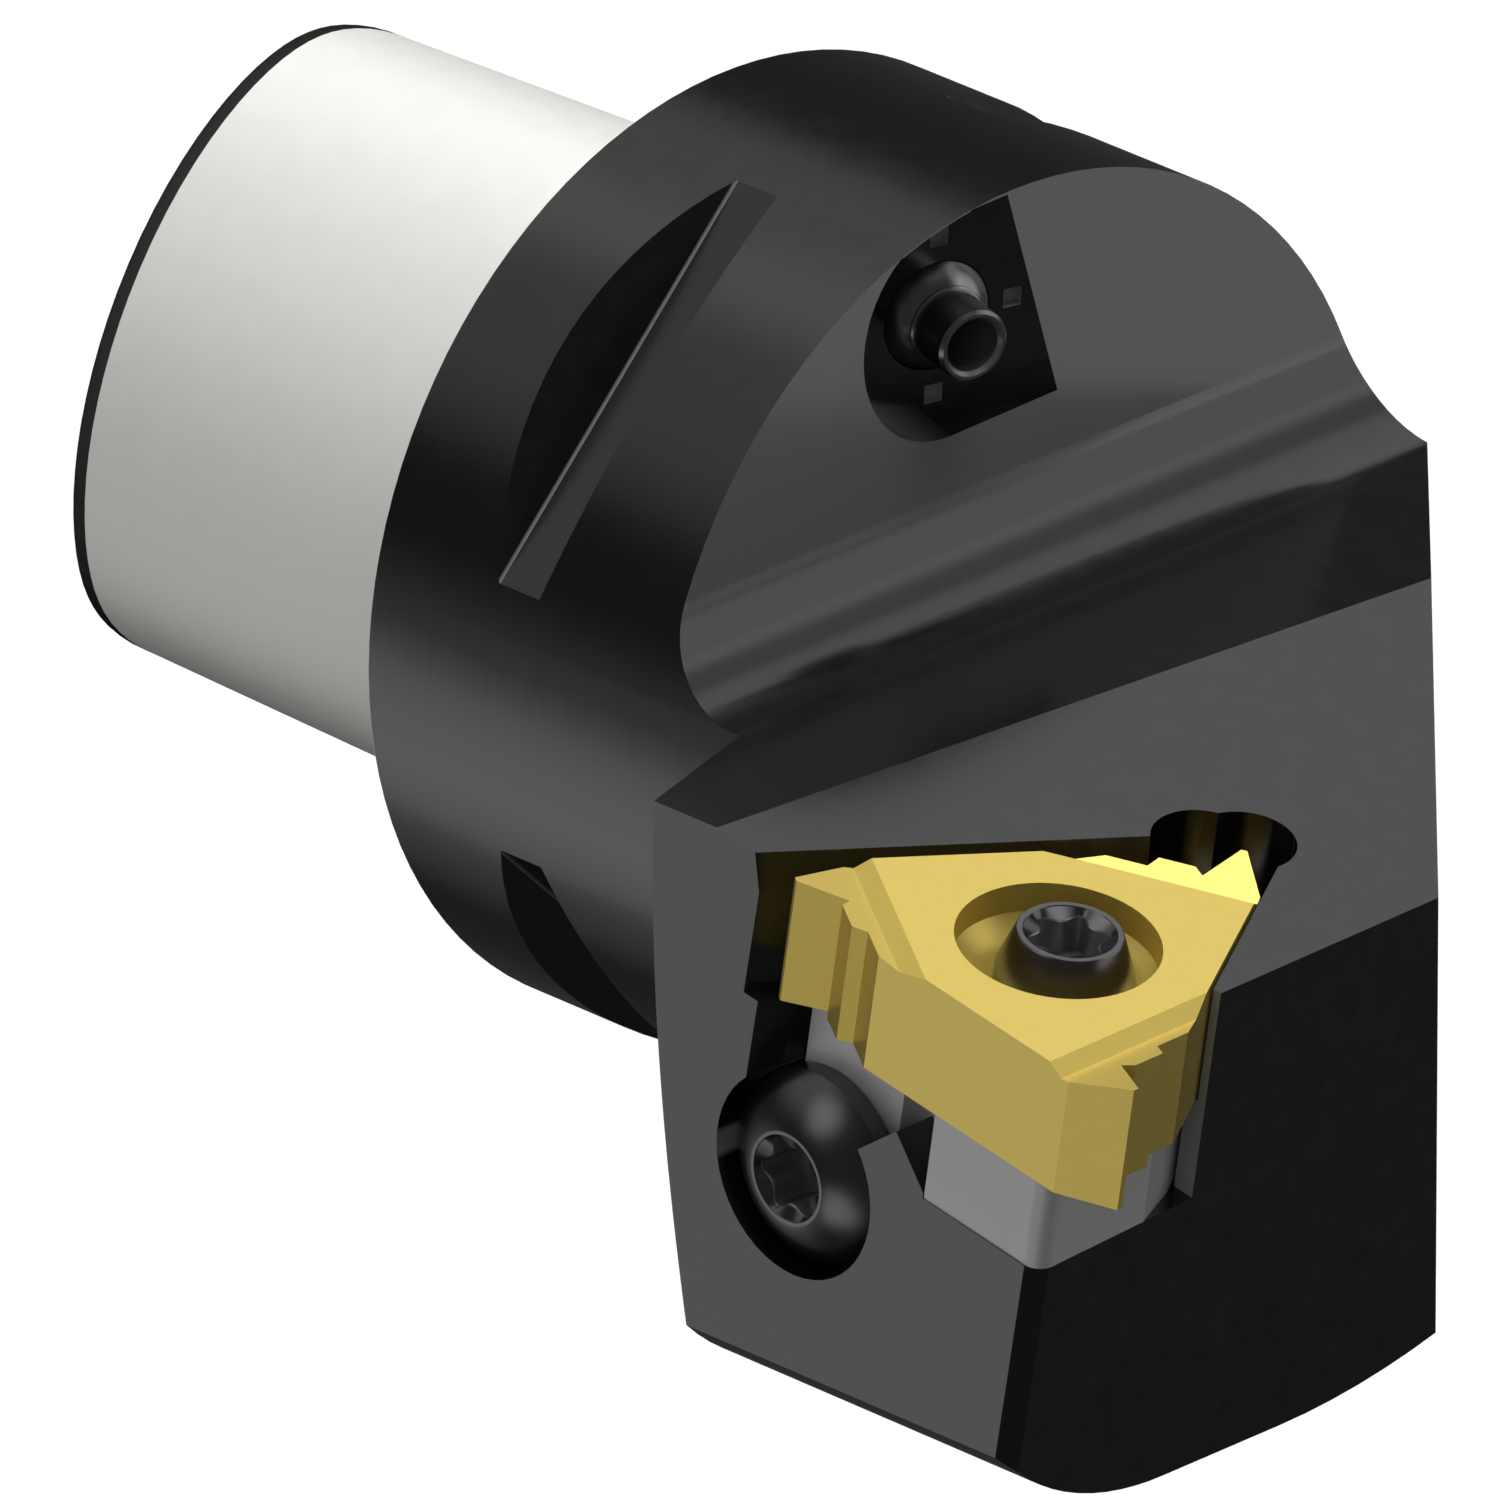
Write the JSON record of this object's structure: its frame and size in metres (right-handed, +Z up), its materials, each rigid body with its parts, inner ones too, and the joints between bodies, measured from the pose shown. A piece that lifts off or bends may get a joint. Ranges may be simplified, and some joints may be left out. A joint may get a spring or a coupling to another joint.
{
  "type": "external threading head",
  "caption": "Threading head with a hollow polygonal taper shank, gripped flange, tilted laydown insert on a shim and a swivel coolant nozzle.",
  "frame": {"origin": "centre of the flange's contact face, on the shank's axis", "axes": "+X along the shank's axis towards the cutting end, +Z up, out of the insert's top side, +Y away from the insert's side"},
  "size_m": [0.0733, 0.0474, 0.0423],
  "materials": {
    "blackened_steel": "satin black oxide",
    "shim_carbide": "ground",
    "coated_carbide": "satin coating",
    "black_screw": "black oxide",
    "nozzle_steel": "bright turned"
  },
  "bodies": {
    "holder": {"head_body": "blackened_steel", "carbide_shim": "shim_carbide"},
    "insert": {"threading_insert": "coated_carbide"},
    "clamp_screw": {"insert_screw": "black_screw"},
    "side_screw": {"shim_screw": "black_screw"},
    "nozzle": {"coolant_nozzle": "nozzle_steel"}
  },
  "joints": [
    {"name": "insert_lift", "type": "slide", "parent": "holder", "child": "insert", "axis": [0.1822, -0.0154, 0.9831], "range_m": [0, 0.0084]},
    {"name": "insert_screw_turn", "type": "hinge", "parent": "insert", "child": "clamp_screw", "pos_m": [0.04014, -0.02058, 0.00171], "axis": [0.1822, -0.0154, 0.9831], "range_deg": [0, 4321]},
    {"name": "shim_screw_turn", "type": "hinge", "parent": "holder", "child": "side_screw", "pos_m": [0.03045, -0.02436, -0.00986], "axis": [0, -1, 0], "range_deg": [0, 180]},
    {"name": "nozzle_tilt", "type": "hinge", "parent": "holder", "child": "nozzle", "pos_m": [0.01403, -0.00297, 0.0153], "axis": [0.2487, 0.9686, 0], "range_deg": [-15, 15]}
  ],
  "couplings": [
    {"joint": "insert_screw_turn", "follows": "insert_lift", "rad_per_m": 8976}
  ]
}
